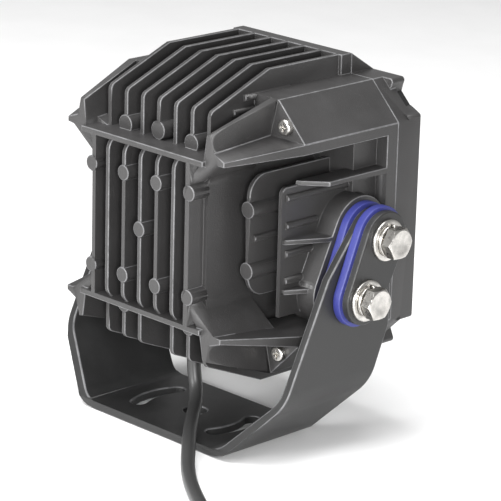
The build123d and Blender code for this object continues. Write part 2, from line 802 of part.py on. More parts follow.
with BuildPart() as supply_lead:
    with BuildSketch(Plane.XY.offset(gland_end_z)):
        with Locations(entry):
            Circle(cable_r)
    extrude(amount=gland_z + lead_strip - gland_end_z)
    with BuildLine() as lead_route:
        FilletPolyline(
            (0, gland_y, gland_z + lead_strip),
            (0, gland_y, gland_z + duct_rise),
            (0, lead_end_y, gland_z + duct_rise),
            radius=lead_bend_r,
        )
    with BuildSketch(Plane.XY.offset(gland_z + lead_strip)):
        with Locations(entry):
            Circle(lead_r)
    sweep()
save(supply_lead, "supply_lead")

# ---------------------------------------------------------------- free lead and its connector
cable_points = [
    (0, gland_y, gland_end_z),
    (0, gland_y, 34.0),
    (-7.0, 5.5, 15.5),
    (-24.0, 26.0, 10.5),
    (-44.5, 47.0, 9.4),
    (-64.5, 66.5, 4.1),
    (-95.0, 88.0, 4.1),
    (-128.0, 106.0, 4.1),
    (-149.0, 131.0, 7.6),
    (-157.0, 156.0, 7.6),
]


def corner_radii(points):
    """Radius at each inner point: 0.45 of the shorter run over the tangent of half the turn."""
    spots = [Vector(*p) for p in points]
    radii = []
    for before, here, after in zip(spots, spots[1:], spots[2:]):
        turn = (here - before).get_angle(after - here)
        shorter = min((here - before).length, (after - here).length)
        radii.append(0.45 * shorter / tan(radians(turn / 2)))
    return radii


cable_radii = corner_radii(cable_points)
with BuildPart() as power_cable:
    with BuildLine() as cable_route:
        FilletPolyline(*cable_points, radius=cable_radii)
    with BuildSketch(Plane.XY.offset(gland_end_z)):
        with Locations(entry):
            Circle(cable_r)
    sweep()
save(power_cable, "power_cable")
cable_length = cable_route.wire().length
print("cable radii", [round(r, 1) for r in cable_radii])
print("cable length", round(cable_length, 1))
print("tube volume", round(power_cable.part.volume), "of", round(pi * cable_r**2 * cable_length))

cable_end = Vector(*cable_points[-1])
cable_run = cable_end - Vector(*cable_points[-2])
plug_plane = Plane(origin=cable_end, x_dir=cable_run.cross(Vector(0, 0, 1)), z_dir=cable_run)
with BuildPart() as plug_body:
    with BuildSketch(plug_plane.offset(plug_seal_long)):
        RectangleRounded(plug_wide, plug_high, 3)
    extrude(amount=plug_long - plug_seal_long)
    with BuildSketch(plug_plane.offset(plug_long)):
        RectangleRounded(plug_wide - 2 * plug_wall, plug_high - 2 * plug_wall, 2)
    extrude(amount=-plug_mouth, mode=Mode.SUBTRACT)
    with BuildSketch(plug_plane.offset(plug_seal_long)):
        with Locations((socket_apart / 2, 0), (-socket_apart / 2, 0)):
            Circle(socket_r + thread_gap)
    extrude(amount=plug_long - plug_mouth - plug_seal_long, mode=Mode.SUBTRACT)
save(plug_body, "plug_body")

with BuildPart() as plug_seal:
    with BuildSketch(plug_plane):
        RectangleRounded(plug_wide - 1.5, plug_high - 1.5, 3)
    extrude(amount=plug_seal_long)
save(plug_seal, "plug_seal")

with BuildPart() as plug_sockets:
    with BuildSketch(plug_plane.offset(plug_seal_long)):
        with Locations((socket_apart / 2, 0), (-socket_apart / 2, 0)):
            Circle(socket_r)
            Circle(socket_r / 2, mode=Mode.SUBTRACT)
    extrude(amount=plug_long - plug_mouth - plug_seal_long + socket_long)
save(plug_sockets, "plug_sockets")

wedge_y = plug_long - plug_mouth
with BuildPart() as plug_wedge:
    with BuildSketch(plug_plane.offset(wedge_y)):
        RectangleRounded(plug_wide - 2 * plug_wall - 3, plug_high - 2 * plug_wall - 4, 1.5)
        with Locations((socket_apart / 2, 0), (-socket_apart / 2, 0)):
            Circle(socket_r + 0.2, mode=Mode.SUBTRACT)
    extrude(amount=socket_long - 1)
save(plug_wedge, "plug_wedge")

# ---------------------------------------------------------------- tilt joint
for sign, hand in ((1, "left"), (-1, "right")):
    with BuildPart() as inner_pad:
        with BuildSketch(side(sign * mount_boss_x)):
            teardrop(pad_r_top, pad_r_bottom)
            with Locations((pivot_y, 0), (clamp_y, -clamp_dz)):
                Circle(sleeve_r + thread_gap, mode=Mode.SUBTRACT)
        extrude(amount=sign * (pad_in_x - mount_boss_x))
    save(inner_pad, f"inner_pad_{hand}")
    with BuildPart() as outer_pad:
        with BuildSketch(side(sign * pad_out_x)):
            teardrop(pad_r_top, pad_r_bottom)
            with Locations((pivot_y, 0), (clamp_y, -clamp_dz)):
                Circle(sleeve_r + thread_gap, mode=Mode.SUBTRACT)
        extrude(amount=sign * pad_thick)
    save(outer_pad, f"outer_pad_{hand}")
    with BuildPart() as clamp_plate:
        with BuildSketch(side(sign * clamp_x)):
            teardrop(clamp_r_top, clamp_r_bottom)
        extrude(amount=sign * clamp_thick)
        fillet(clamp_plate.faces().sort_by(Axis.X)[-1 if sign > 0 else 0].edges(), 0.8)
        with BuildSketch(side(sign * clamp_x)):
            bolt_pair(bolt_r + clearance)
        extrude(amount=sign * clamp_thick, mode=Mode.SUBTRACT)
    save(clamp_plate, f"clamp_plate_{hand}")

bolt_spots = {"pivot": (pivot_y, 0), "clamp": (clamp_y, -clamp_dz)}
for role, spot in bolt_spots.items():
    with BuildPart() as sleeve:
        with BuildSketch(side(mount_boss_x)):
            with Locations(spot):
                Circle(sleeve_r)
                Circle(bolt_r + clearance, mode=Mode.SUBTRACT)
        extrude(amount=sleeve_long)
        mirror(about=Plane.YZ)
    save(sleeve, f"{role}_sleeves")
    with BuildPart() as bolt:
        with BuildSketch(side(head_x)):
            with Locations(spot):
                RegularPolygon(hex_flats / 2, 6, major_radius=False)
        extrude(amount=hex_high)
        with BuildSketch(side(bolt_tip_x + 1)):
            with Locations(spot):
                Circle(bolt_r)
        extrude(amount=head_x - bolt_tip_x - 1)
        chamfer(bolt.faces().sort_by(Axis.X)[0].edges(), 1)
        mirror(about=Plane.YZ)
    save(bolt, f"{role}_bolts")

with BuildPart() as plain_washers:
    with BuildSketch(side(washer_x)):
        with Locations((pivot_y, 0), (clamp_y, -clamp_dz)):
            Circle(washer_r)
            Circle(bolt_r + clearance, mode=Mode.SUBTRACT)
    extrude(amount=washer_thick)
    mirror(about=Plane.YZ)
save(plain_washers, "plain_washers")

with BuildPart() as spring_washers:
    with BuildSketch(side(spring_x)):
        with Locations((pivot_y, 0), (clamp_y, -clamp_dz)):
            Circle(spring_r)
            Circle(bolt_r + clearance, mode=Mode.SUBTRACT)
        with Locations((pivot_y, spring_r), (clamp_y, spring_r - clamp_dz)):
            Rectangle(spring_split, 2 * spring_r - bolt_r, mode=Mode.SUBTRACT)
    extrude(amount=spring_thick)
    mirror(about=Plane.YZ)
save(spring_washers, "spring_washers")
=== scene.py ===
"""Looks of a square finned flood lamp on a tilting U-bracket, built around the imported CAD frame.

Metres, in the frame's own axes: +Z up, the light leaves along -Y, the lamp tilts about X. Castings
and plates are finished copies of the CAD pieces. Fasteners, optics, the lead and its connector are
modelled at the places of the CAD pieces that they stand for.
"""
import logging
import math
from collections.abc import Iterable, Sequence
from dataclasses import dataclass, field
from enum import Enum

import bmesh
import bpy
from bmesh.types import BMesh
from mathutils import Matrix, Vector
from mathutils.kdtree import KDTree
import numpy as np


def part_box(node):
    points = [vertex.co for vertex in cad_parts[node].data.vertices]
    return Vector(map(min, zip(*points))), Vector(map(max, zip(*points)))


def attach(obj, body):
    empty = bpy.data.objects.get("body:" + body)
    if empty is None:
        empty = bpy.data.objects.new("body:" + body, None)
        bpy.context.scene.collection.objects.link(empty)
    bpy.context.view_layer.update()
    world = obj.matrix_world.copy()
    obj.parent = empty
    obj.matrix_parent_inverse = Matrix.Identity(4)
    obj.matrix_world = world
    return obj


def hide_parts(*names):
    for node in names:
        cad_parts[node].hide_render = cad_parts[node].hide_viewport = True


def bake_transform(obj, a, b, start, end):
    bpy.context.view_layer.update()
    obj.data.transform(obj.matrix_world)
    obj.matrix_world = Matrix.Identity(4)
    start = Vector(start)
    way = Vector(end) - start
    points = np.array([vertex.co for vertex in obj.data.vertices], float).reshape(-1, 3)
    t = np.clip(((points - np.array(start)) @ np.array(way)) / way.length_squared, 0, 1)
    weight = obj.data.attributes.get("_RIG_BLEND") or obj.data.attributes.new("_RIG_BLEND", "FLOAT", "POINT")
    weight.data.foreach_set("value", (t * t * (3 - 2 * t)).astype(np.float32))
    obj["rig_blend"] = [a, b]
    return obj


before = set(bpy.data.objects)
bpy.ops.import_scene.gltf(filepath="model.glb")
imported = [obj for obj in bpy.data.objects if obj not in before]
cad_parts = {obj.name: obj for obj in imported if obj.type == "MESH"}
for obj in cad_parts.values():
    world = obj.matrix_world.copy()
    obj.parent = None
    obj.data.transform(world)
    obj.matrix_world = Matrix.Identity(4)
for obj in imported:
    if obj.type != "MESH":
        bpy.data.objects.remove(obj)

logging.basicConfig(level=logging.INFO, format="%(levelname)s %(name)s: %(message)s")
log = logging.getLogger("flood_lamp")

Colour = tuple[float, float, float]
Point = tuple[float, float, float]
Socket = bpy.types.NodeSocket
RIM = "rim"
# Name of the face attribute that marks convex rounded edges, where a highlight is painted.
"""Name of the face attribute that marks rounded edges."""
WELD = 1e-6
"""Points closer than this are one point."""
SAME_PLACE = 1e-5
"""Measures that differ by less than this are the same place."""
MIX_FIRST, MIX_SECOND, MIX_RESULT = 6, 7, 2
"""Positions of the colour sockets on a Mix node."""
PALE_GREY: Colour = (0.3, 0.3, 0.31)
# Colour of the painted highlights on rounded edges, and of dust.
"""Colour of rubbed coat and of dust."""
ROLES = ("pivot", "clamp")
"""The two bolts on each end of the tilt axis."""
SMOOTH = 50.0
"""Crease, in degrees, of a piece whose edges are rounded by geometry."""


class Body(Enum):
    """Bodies of the frame that pieces ride on."""

    BRACKET = "bracket"
    HEAD = "head"


class Hand(Enum):
    """The two ends of the tilt axis, with the direction of each along X."""

    LEFT = 1
    RIGHT = -1


# ------------------------------------------------------------------------------ shader tools
class NodeSheet:
    """Adds and wires nodes in one node tree."""

    def __init__(self, tree: bpy.types.NodeTree) -> None:
        """Keep the tree that the nodes go in.

        Args:
            tree: the node tree of a material or a group.
        """
        self.tree = tree

    def add(self, kind: str, **sockets: object) -> bpy.types.Node:
        """Add one node and set its plain inputs.

        Args:
            kind: Blender's name for the node.
            **sockets: input values by socket name, with _ for each space.

        Returns:
            The new node.
        """
        node = self.tree.nodes.new(kind)
        node.location = (200 * len(self.tree.nodes), 0)
        for name, value in sockets.items():
            node.inputs[name.replace("_", " ")].default_value = value
        return node

    def wire(self, source: Socket, target: Socket) -> None:
        """Link an output to an input.

        Args:
            source: the output.
            target: the input.
        """
        self.tree.links.new(source, target)

    def remap(self, value: Socket, low: float, high: float, to_low: float, to_high: float) -> Socket:
        """Map a value from one range to another, held at its ends.

        Args:
            value: the socket to read.
            low: start of the range read.
            high: end of the range read.
            to_low: result at the start.
            to_high: result at the end.

        Returns:
            The socket with the mapped value.
        """
        node = self.add("ShaderNodeMapRange", From_Min=low, From_Max=high, To_Min=to_low, To_Max=to_high)
        self.wire(value, node.inputs["Value"])
        return node.outputs["Result"]

    def combine(self, operation: str, first: Socket, second: Socket) -> Socket:
        """Combine two values with one math operation.

        Args:
            operation: Blender's name for the operation.
            first: the first value.
            second: the second value.

        Returns:
            The socket with the result.
        """
        node = self.add("ShaderNodeMath")
        node.operation = operation
        self.wire(first, node.inputs[0])
        self.wire(second, node.inputs[1])
        return node.outputs[0]

    def tint(self, mask: Socket, plain: Colour, other: Colour) -> Socket:
        """Mix two colours by a mask.

        Args:
            mask: 0 gives the plain colour, 1 the other.
            plain: the colour of most of the surface.
            other: the colour where the mask is 1.

        Returns:
            The socket with the mixed colour.
        """
        node = self.add("ShaderNodeMix")
        node.data_type = "RGBA"
        node.inputs[MIX_FIRST].default_value = (*plain, 1)
        node.inputs[MIX_SECOND].default_value = (*other, 1)
        self.wire(mask, node.inputs["Factor"])
        return node.outputs[MIX_RESULT]


def new_group(
    name: str, inputs: dict[str, tuple[str, object]], outputs: Iterable[str]
) -> tuple[NodeSheet, bpy.types.Node, bpy.types.Node]:
    """Start a shader node group with its sockets.

    Args:
        name: the group's name.
        inputs: socket type and default for each input name; a None default is left alone.
        outputs: names of the outputs, which are all values.

    Returns:
        The sheet to build on, the group's input node and its output node.
    """
    tree = bpy.data.node_groups.new(name, "ShaderNodeTree")
    for title, (kind, default) in inputs.items():
        socket = tree.interface.new_socket(name=title, in_out="INPUT", socket_type=kind)
        if default is not None:
            socket.default_value = default
    for title in outputs:
        tree.interface.new_socket(name=title, in_out="OUTPUT", socket_type="NodeSocketFloat")
    sheet = NodeSheet(tree)
    return sheet, sheet.add("NodeGroupInput"), sheet.add("NodeGroupOutput")


def sandy_skin() -> bpy.types.NodeTree:
    """Fine pebbled skin of powder coat, cast metal and moulded plastic.

    Returns:
        The group: Height is the pebbles, Patch a slow change over the surface.
    """
    found = bpy.data.node_groups.get("sandy_skin")
    if found:
        return found
    sheet, given, out = new_group(
        "sandy_skin",
        {
            "Vector": ("NodeSocketVector", None),
            "Grain": ("NodeSocketFloat", 900.0),
            "Spread": ("NodeSocketFloat", 18.0),
        },
        ("Height", "Patch"),
    )
    pebbles = sheet.add("ShaderNodeTexNoise", Detail=3.0, Roughness=0.55)
    sheet.wire(given.outputs["Vector"], pebbles.inputs["Vector"])
    sheet.wire(given.outputs["Grain"], pebbles.inputs["Scale"])
    cells = sheet.add("ShaderNodeTexVoronoi", Randomness=1.0)
    cells.feature = "SMOOTH_F1"
    sheet.wire(given.outputs["Vector"], cells.inputs["Vector"])
    sheet.wire(given.outputs["Grain"], cells.inputs["Scale"])
    domes = sheet.remap(cells.outputs["Distance"], 0.0, 0.8, 0.5, 0.0)
    height = sheet.combine("ADD", pebbles.outputs["Fac"], domes)
    sheet.wire(height, out.inputs["Height"])
    patch = sheet.add("ShaderNodeTexNoise", Detail=4.0, Roughness=0.6)
    sheet.wire(given.outputs["Vector"], patch.inputs["Vector"])
    sheet.wire(given.outputs["Spread"], patch.inputs["Scale"])
    sheet.wire(patch.outputs["Fac"], out.inputs["Patch"])
    return sheet.tree


def painted_edge_highlights() -> bpy.types.NodeTree:
    """Mask of painted highlights on the convex rounded edges, broken up by noise.

    Returns:
        The group, whose Mask is 0 on plain faces and up to 1 on rounded edges.
    """
    found = bpy.data.node_groups.get("painted_edge_highlights")
    if found:
        return found
    sheet, given, out = new_group(
        "painted_edge_highlights",
        {"Vector": ("NodeSocketVector", None), "Breakup": ("NodeSocketFloat", 120.0)},
        ("Mask",),
    )
    edge = sheet.add("ShaderNodeAttribute")
    edge.attribute_name = RIM
    noise = sheet.add("ShaderNodeTexNoise", Detail=5.0, Roughness=0.65)
    sheet.wire(given.outputs["Vector"], noise.inputs["Vector"])
    sheet.wire(given.outputs["Breakup"], noise.inputs["Scale"])
    broken = sheet.remap(noise.outputs["Fac"], 0.3, 0.65, 0.3, 1.0)
    sheet.wire(sheet.combine("MULTIPLY", edge.outputs["Fac"], broken), out.inputs["Mask"])
    return sheet.tree


def settled_dust() -> bpy.types.NodeTree:
    """Mask of fine dust on faces that look upwards.

    Returns:
        The group, whose Mask grows with the upward tilt of the face.
    """
    found = bpy.data.node_groups.get("settled_dust")
    if found:
        return found
    sheet, given, out = new_group(
        "settled_dust",
        {"Vector": ("NodeSocketVector", None), "Breakup": ("NodeSocketFloat", 60.0)},
        ("Mask",),
    )
    shape = sheet.add("ShaderNodeNewGeometry")
    split = sheet.add("ShaderNodeSeparateXYZ")
    sheet.wire(shape.outputs["Normal"], split.inputs[0])
    upward = sheet.remap(split.outputs["Z"], 0.3, 1.0, 0.0, 1.0)
    noise = sheet.add("ShaderNodeTexNoise", Detail=8.0, Roughness=0.7)
    sheet.wire(given.outputs["Vector"], noise.inputs["Vector"])
    sheet.wire(given.outputs["Breakup"], noise.inputs["Scale"])
    flecks = sheet.remap(noise.outputs["Fac"], 0.45, 0.75, 0.0, 1.0)
    sheet.wire(sheet.combine("MULTIPLY", upward, flecks), out.inputs["Mask"])
    return sheet.tree


@dataclass(frozen=True)
class Finish:
    """A finish with a pebbled skin: coats, mouldings, rubbers and sheaths.

    Attributes:
        name: the material's name.
        tint: colour of most of the surface.
        other: colour of its slow patches.
        roughness: middle of the roughness.
        roughness_spread: how far the roughness goes either way.
        grain: scale of the pebbles.
        relief: height of the pebbles, in metres.
        edge_highlight: share of pale grey painted on the convex rounded edges as a highlight.
        dust: share of pale grey on faces that look upwards.
        metallic: 1 for a metal coating.
        coat: weight of a clear coat.
    """

    name: str
    tint: Colour
    other: Colour
    roughness: float = 0.5
    roughness_spread: float = 0.12
    grain: float = 900.0
    relief: float = 0.00006
    edge_highlight: float = 0.0
    dust: float = 0.0
    metallic: float = 0.0
    coat: float = 0.0

    def material(self) -> bpy.types.Material:
        """Build the material the first time that it is asked for.

        Returns:
            The material.
        """
        return bpy.data.materials.get(self.name) or self.build()

    def start(self) -> tuple[bpy.types.Material, NodeSheet, bpy.types.Node, Socket]:
        """Start a material.

        Returns:
            The material, its sheet, its Principled shader and the Object coordinates.
        """
        material = bpy.data.materials.new(self.name)
        material.use_nodes = True
        sheet = NodeSheet(material.node_tree)
        shader = material.node_tree.nodes["Principled BSDF"]
        place = sheet.add("ShaderNodeTexCoord")
        return material, sheet, shader, place.outputs["Object"]

    def group(self, sheet: NodeSheet, tree: bpy.types.NodeTree, place: Socket) -> bpy.types.Node:
        """Place a shared group in the material and feed it the coordinates.

        Args:
            sheet: the material's sheet.
            tree: the shared group.
            place: the Object coordinates.

        Returns:
            The group's node.
        """
        node = sheet.add("ShaderNodeGroup")
        node.node_tree = tree
        sheet.wire(place, node.inputs["Vector"])
        return node

    def build(self) -> bpy.types.Material:
        """Wire the skin, the painted edge highlights and the dust into the shader.

        Returns:
            The material.
        """
        material, sheet, shader, place = self.start()
        skin = self.group(sheet, sandy_skin(), place)
        skin.inputs["Grain"].default_value = self.grain
        spread = self.roughness_spread
        patch = skin.outputs["Patch"]
        colour = sheet.tint(sheet.remap(patch, 0.3, 0.7, 0.0, 1.0), self.tint, self.other)
        rough = sheet.remap(patch, 0.25, 0.75, self.roughness - spread, self.roughness + spread)
        # Pale grey painted onto the convex rounded edges stands for the highlights that they catch.
        if self.edge_highlight > 0:
            edges = self.group(sheet, painted_edge_highlights(), place)
            colour = self.lighten(sheet, colour, edges.outputs["Mask"], self.edge_highlight)
        if self.dust > 0:
            dust = self.group(sheet, settled_dust(), place)
            colour = self.lighten(sheet, colour, dust.outputs["Mask"], self.dust)
        sheet.wire(colour, shader.inputs["Base Color"])
        sheet.wire(rough, shader.inputs["Roughness"])
        bump = sheet.add("ShaderNodeBump", Strength=1.0, Distance=self.relief)
        sheet.wire(skin.outputs["Height"], bump.inputs["Height"])
        sheet.wire(bump.outputs["Normal"], shader.inputs["Normal"])
        shader.inputs["Metallic"].default_value = self.metallic
        shader.inputs["Coat Weight"].default_value = self.coat
        return material

    def lighten(self, sheet: NodeSheet, colour: Socket, mask: Socket, amount: float) -> Socket:
        """Mix a pale grey over a colour where a mask says so.

        Args:
            sheet: the material's sheet.
            colour: the colour under it.
            mask: where the grey goes.
            amount: share of grey where the mask is 1.

        Returns:
            The socket with the new colour.
        """
        mix = sheet.add("ShaderNodeMix")
        mix.data_type = "RGBA"
        mix.inputs[MIX_SECOND].default_value = (*PALE_GREY, 1)
        sheet.wire(colour, mix.inputs[MIX_FIRST])
        sheet.wire(sheet.remap(mask, 0.0, 1.0, 0.0, amount), mix.inputs["Factor"])
        return mix.outputs[MIX_RESULT]


@dataclass(frozen=True)
class BareMetal(Finish):
    """Machined or rolled metal with fine turning lines and faint stains.

    Attributes:
        lines: scale of the turning lines.
        stains: scale of the stains.
    """

    lines: float = 900.0
    stains: float = 240.0

    def build(self) -> bpy.types.Material:
        """Wire the turning lines and the stains into the shader.

        Returns:
            The material.
        """
        material, sheet, shader, place = self.start()
        stretch = sheet.add("ShaderNodeMapping")
        stretch.inputs["Scale"].default_value = (3.0, 1.0, 1.0)
        sheet.wire(place, stretch.inputs["Vector"])
        lines = sheet.add("ShaderNodeTexNoise", Scale=self.lines, Detail=2.0, Roughness=0.5)
        sheet.wire(stretch.outputs["Vector"], lines.inputs["Vector"])
        stains = sheet.add("ShaderNodeTexNoise", Scale=self.stains, Detail=5.0, Roughness=0.6)
        sheet.wire(place, stains.inputs["Vector"])
        stained = sheet.remap(stains.outputs["Fac"], 0.4, 0.7, 0.0, 1.0)
        sheet.wire(sheet.tint(stained, self.tint, self.other), shader.inputs["Base Color"])
        spread = self.roughness_spread
        low, high = self.roughness - spread, self.roughness + spread
        rough = sheet.remap(stains.outputs["Fac"], 0.3, 0.7, low, high)
        sheet.wire(rough, shader.inputs["Roughness"])
        bump = sheet.add("ShaderNodeBump", Strength=1.0, Distance=self.relief)
        sheet.wire(sheet.combine("ADD", lines.outputs["Fac"], stains.outputs["Fac"]), bump.inputs["Height"])
        sheet.wire(bump.outputs["Normal"], shader.inputs["Normal"])
        shader.inputs["Metallic"].default_value = 1.0
        return material


@dataclass(frozen=True)
class ClearGlass(Finish):
    """Toughened glass with a trace of wipe marks."""

    def build(self) -> bpy.types.Material:
        """Wire faint wipe marks into a glass shader.

        Returns:
            The material.
        """
        material, sheet, shader, place = self.start()
        marks = sheet.add("ShaderNodeTexNoise", Scale=14.0, Detail=3.0, Roughness=0.5)
        sheet.wire(place, marks.inputs["Vector"])
        sheet.wire(sheet.tint(marks.outputs["Fac"], self.tint, self.other), shader.inputs["Base Color"])
        high = self.roughness + self.roughness_spread
        rough = sheet.remap(marks.outputs["Fac"], 0.4, 0.8, self.roughness, high)
        sheet.wire(rough, shader.inputs["Roughness"])
        shader.inputs["Transmission Weight"].default_value = 1.0
        shader.inputs["IOR"].default_value = 1.5
        return material


# The rounded edges of these coats and of the nylon get a painted pale highlight.
CAST_BLACK = Finish(
    "cast_black_coat", (0.027, 0.026, 0.026), (0.037, 0.036, 0.036), 0.42, 0.06, 1300, 0.00009,
    edge_highlight=0.45, dust=0.05,
)
PLATE_BLACK = Finish(
    "plate_black_coat", (0.014, 0.014, 0.014), (0.019, 0.019, 0.019), 0.40, 0.06, 1500, 0.00005,
    edge_highlight=0.4, dust=0.04,
)
BLUE_PAD = Finish("blue_urethane", (0.024, 0.028, 0.15), (0.030, 0.036, 0.19), 0.42, 0.08, 700, 0.00004)
BLACK_RUBBER = Finish(
    "black_rubber", (0.014, 0.014, 0.015), (0.022, 0.022, 0.022), 0.72, 0.08, 1400, 0.00004
)
BLACK_PLASTIC = Finish(
    "black_nylon", (0.018, 0.018, 0.019), (0.026, 0.026, 0.027), 0.45, 0.08, 1600, 0.00003, edge_highlight=0.1
)
SHEATH = Finish("cable_sheath", (0.016, 0.016, 0.017), (0.026, 0.026, 0.027), 0.28, 0.06, 1100, 0.00004)
STAINLESS = BareMetal(
    "stainless_steel", (0.60, 0.58, 0.55), (0.42, 0.41, 0.39), 0.30, 0.08, relief=0.00004
)
TINNED = BareMetal("tinned_copper", (0.70, 0.68, 0.63), (0.55, 0.50, 0.42), 0.35, 0.08, relief=0.00002)
MIRROR_COAT = Finish(
    "reflector_coating", (0.86, 0.87, 0.88), (0.80, 0.81, 0.83), 0.12, 0.03, 500, 0.00001, metallic=1.0
)
BOARD_WHITE = Finish("white_board_mask", (0.78, 0.79, 0.78), (0.72, 0.73, 0.72), 0.4, 0.05, 800, 0.00002)
BOARD_GREEN = Finish(
    "green_board_mask", (0.02, 0.20, 0.07), (0.03, 0.26, 0.10), 0.35, 0.05, 900, 0.00002, coat=0.3
)
PHOSPHOR = Finish("led_phosphor", (0.82, 0.62, 0.10), (0.88, 0.70, 0.16), 0.5, 0.05, 2000, 0.00002)
PAD_GREY = Finish("thermal_film", (0.42, 0.44, 0.47), (0.48, 0.50, 0.52), 0.7, 0.05, 900, 0.00003)
COMPONENT = Finish("component_epoxy", (0.03, 0.03, 0.03), (0.06, 0.06, 0.06), 0.55, 0.1, 1500, 0.00003)
WEDGE = Finish("orange_wedge", (0.75, 0.20, 0.03), (0.82, 0.26, 0.05), 0.4, 0.05, 900, 0.00002)
LENS_GLASS = ClearGlass("lens_glass", (0.96, 0.98, 0.98), (0.92, 0.96, 0.96), 0.02, 0.03)
DOME_SILICONE = ClearGlass("dome_silicone", (1.0, 0.97, 0.86), (1.0, 0.94, 0.78), 0.05, 0.02)
STUDIO_FLOOR = Finish("studio_floor", (0.90, 0.90, 0.90), (0.92, 0.92, 0.92), 0.8, 0.05, 40, 0.0001)


# ------------------------------------------------------------------------------ mesh tools
def finish_piece(
    name: str,
    form: BMesh,
    body: Body,
    finish: Finish,
    stands_for: Sequence[str] = (),
    crease: float = 35.0,
    weighted: bool = False,
) -> bpy.types.Object:
    """Make a finished piece of a bmesh.

    Args:
        name: the piece's name.
        form: its mesh, which is freed.
        body: the body it rides on.
        finish: its finish.
        stands_for: CAD nodes that it replaces.
        crease: edges sharper than this many degrees stay sharp.
        weighted: let the large faces set the normals of the rounded edges.

    Returns:
        The piece.
    """
    mesh = bpy.data.meshes.new(name)
    form.to_mesh(mesh)
    form.free()
    mesh.shade_smooth()
    mesh.set_sharp_from_angle(angle=math.radians(crease))
    mesh.materials.append(finish.material())
    piece = bpy.data.objects.new(name, mesh)
    bpy.context.scene.collection.objects.link(piece)
    if weighted:
        normals = piece.modifiers.new("large_faces_lead", "WEIGHTED_NORMAL")
        normals.keep_sharp = True
    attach(piece, body.value)
    if stands_for:
        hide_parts(*stands_for)
    log.info("%s: %d faces on %s", name, len(mesh.polygons), body.value)
    return piece


def cad_form(node: str) -> BMesh:
    """Copy a CAD node's mesh, merged, with its flat faces whole again.

    Args:
        node: the CAD node's name.

    Returns:
        The copy.
    """
    form = bmesh.new()
    form.from_mesh(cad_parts[node].data)
    bmesh.ops.remove_doubles(form, verts=form.verts, dist=2e-6)
    bmesh.ops.dissolve_limit(
        form, angle_limit=math.radians(0.5), use_dissolve_boundaries=False, verts=form.verts, edges=form.edges
    )
    return form


def folded_spots(form: BMesh, least_area: float = 3e-8) -> list[Vector]:
    """Find where a form's faces overlap themselves.

    Args:
        form: the form to look at.
        least_area: smaller triangles don't count.

    Returns:
        The corners of every triangle that faces against its own face.
    """
    spots = []
    for loops in form.calc_loop_triangles():
        first, second, third = (loop.vert.co for loop in loops)
        normal = (second - first).cross(third - first)
        if normal.length > 2 * least_area and normal.normalized().dot(loops[0].face.normal) < 0.2:
            spots += [first.copy(), second.copy(), third.copy()]
    return spots


def rounded(
    form: BMesh, width: float, segments: int = 2, sharper_than: float = 30.0, tries: int = 4
) -> BMesh:
    """Round a form's sharp edges, leaving those sharp that are too crowded for it.

    Args:
        form: the form to round, which is freed.
        width: how far the rounding reaches from the edge.
        segments: faces across the rounding.
        sharper_than: only edges with at least this angle, in degrees, are rounded.
        tries: how often crowded edges are looked for.

    Returns:
        The rounded form.
    """
    limit = math.radians(sharper_than)
    form.faces.layers.float.new(RIM)
    form.edges.index_update()
    wanted = {e.index for e in form.edges if len(e.link_faces) == 2 and e.calc_face_angle(0.0) > limit}
    for attempt in range(tries):
        trial = form.copy()
        made = bmesh.ops.bevel(
            trial,
            geom=[e for e in trial.edges if e.index in wanted],
            offset=width,
            offset_type="OFFSET",
            segments=segments,
            profile=0.5,
            affect="EDGES",
            clamp_overlap=False,
            material=-1,
        )
        # Convex rounded faces get rim 1; the finishes paint a pale highlight there.
        rim = trial.faces.layers.float[RIM]
        for face in made["faces"]:
            bends = [e.calc_face_angle_signed(0.0) for e in face.edges if len(e.link_faces) == 2]
            face[rim] = float(sum(bends) > 0.0)
        spots = folded_spots(trial)
        if not spots or attempt == tries - 1:
            break
        trial.free()
        crowd = KDTree(len(spots))
        for index, spot in enumerate(spots):
            crowd.insert(spot, index)
        crowd.balance()
        reach = 3.0 * width
        left = [e for e in form.edges if e.index in wanted]
        wanted -= {e.index for e in left if any(crowd.find(v.co)[2] < reach for v in e.verts)}
    form.free()
    return trial


def spun(profile: Sequence[tuple[float, float]], centre: Vector, axis: Vector, steps: int) -> BMesh:
    """Turn a profile about an axis.

    Args:
        profile: (distance along the axis, radius) points, in order.
        centre: a point on the axis where the distance is 0.
        axis: the axis, of length 1.
        steps: sides of the result.

    Returns:
        The turned form, closed where the profile meets the axis, its faces outwards.
    """
    across = axis.orthogonal().normalized()
    form = bmesh.new()
    points = [form.verts.new(centre + axis * along + across * radius) for along, radius in profile]
    runs = [form.edges.new(pair) for pair in zip(points, points[1:])]
    line = points + runs
    bmesh.ops.spin(form, geom=line, cent=centre, axis=axis, angle=math.tau, steps=steps, use_merge=True)
    bmesh.ops.remove_doubles(form, verts=form.verts, dist=WELD)
    bmesh.ops.recalc_face_normals(form, faces=form.faces)
    return form


def gather(forms: Iterable[BMesh]) -> BMesh:
    """Join several forms into one.

    Args:
        forms: the forms, which are freed.

    Returns:
        The joined form.
    """
    whole = bmesh.new()
    for form in forms:
        part = bpy.data.meshes.new("part")
        form.to_mesh(part)
        form.free()
        whole.from_mesh(part)
        bpy.data.meshes.remove(part)
    return whole


def middle(node: str) -> Vector:
    """Find the centre of a CAD node's box.

    Args:
        node: the CAD node's name.

    Returns:
        The centre.
    """
    low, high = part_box(node)
    return (low + high) / 2


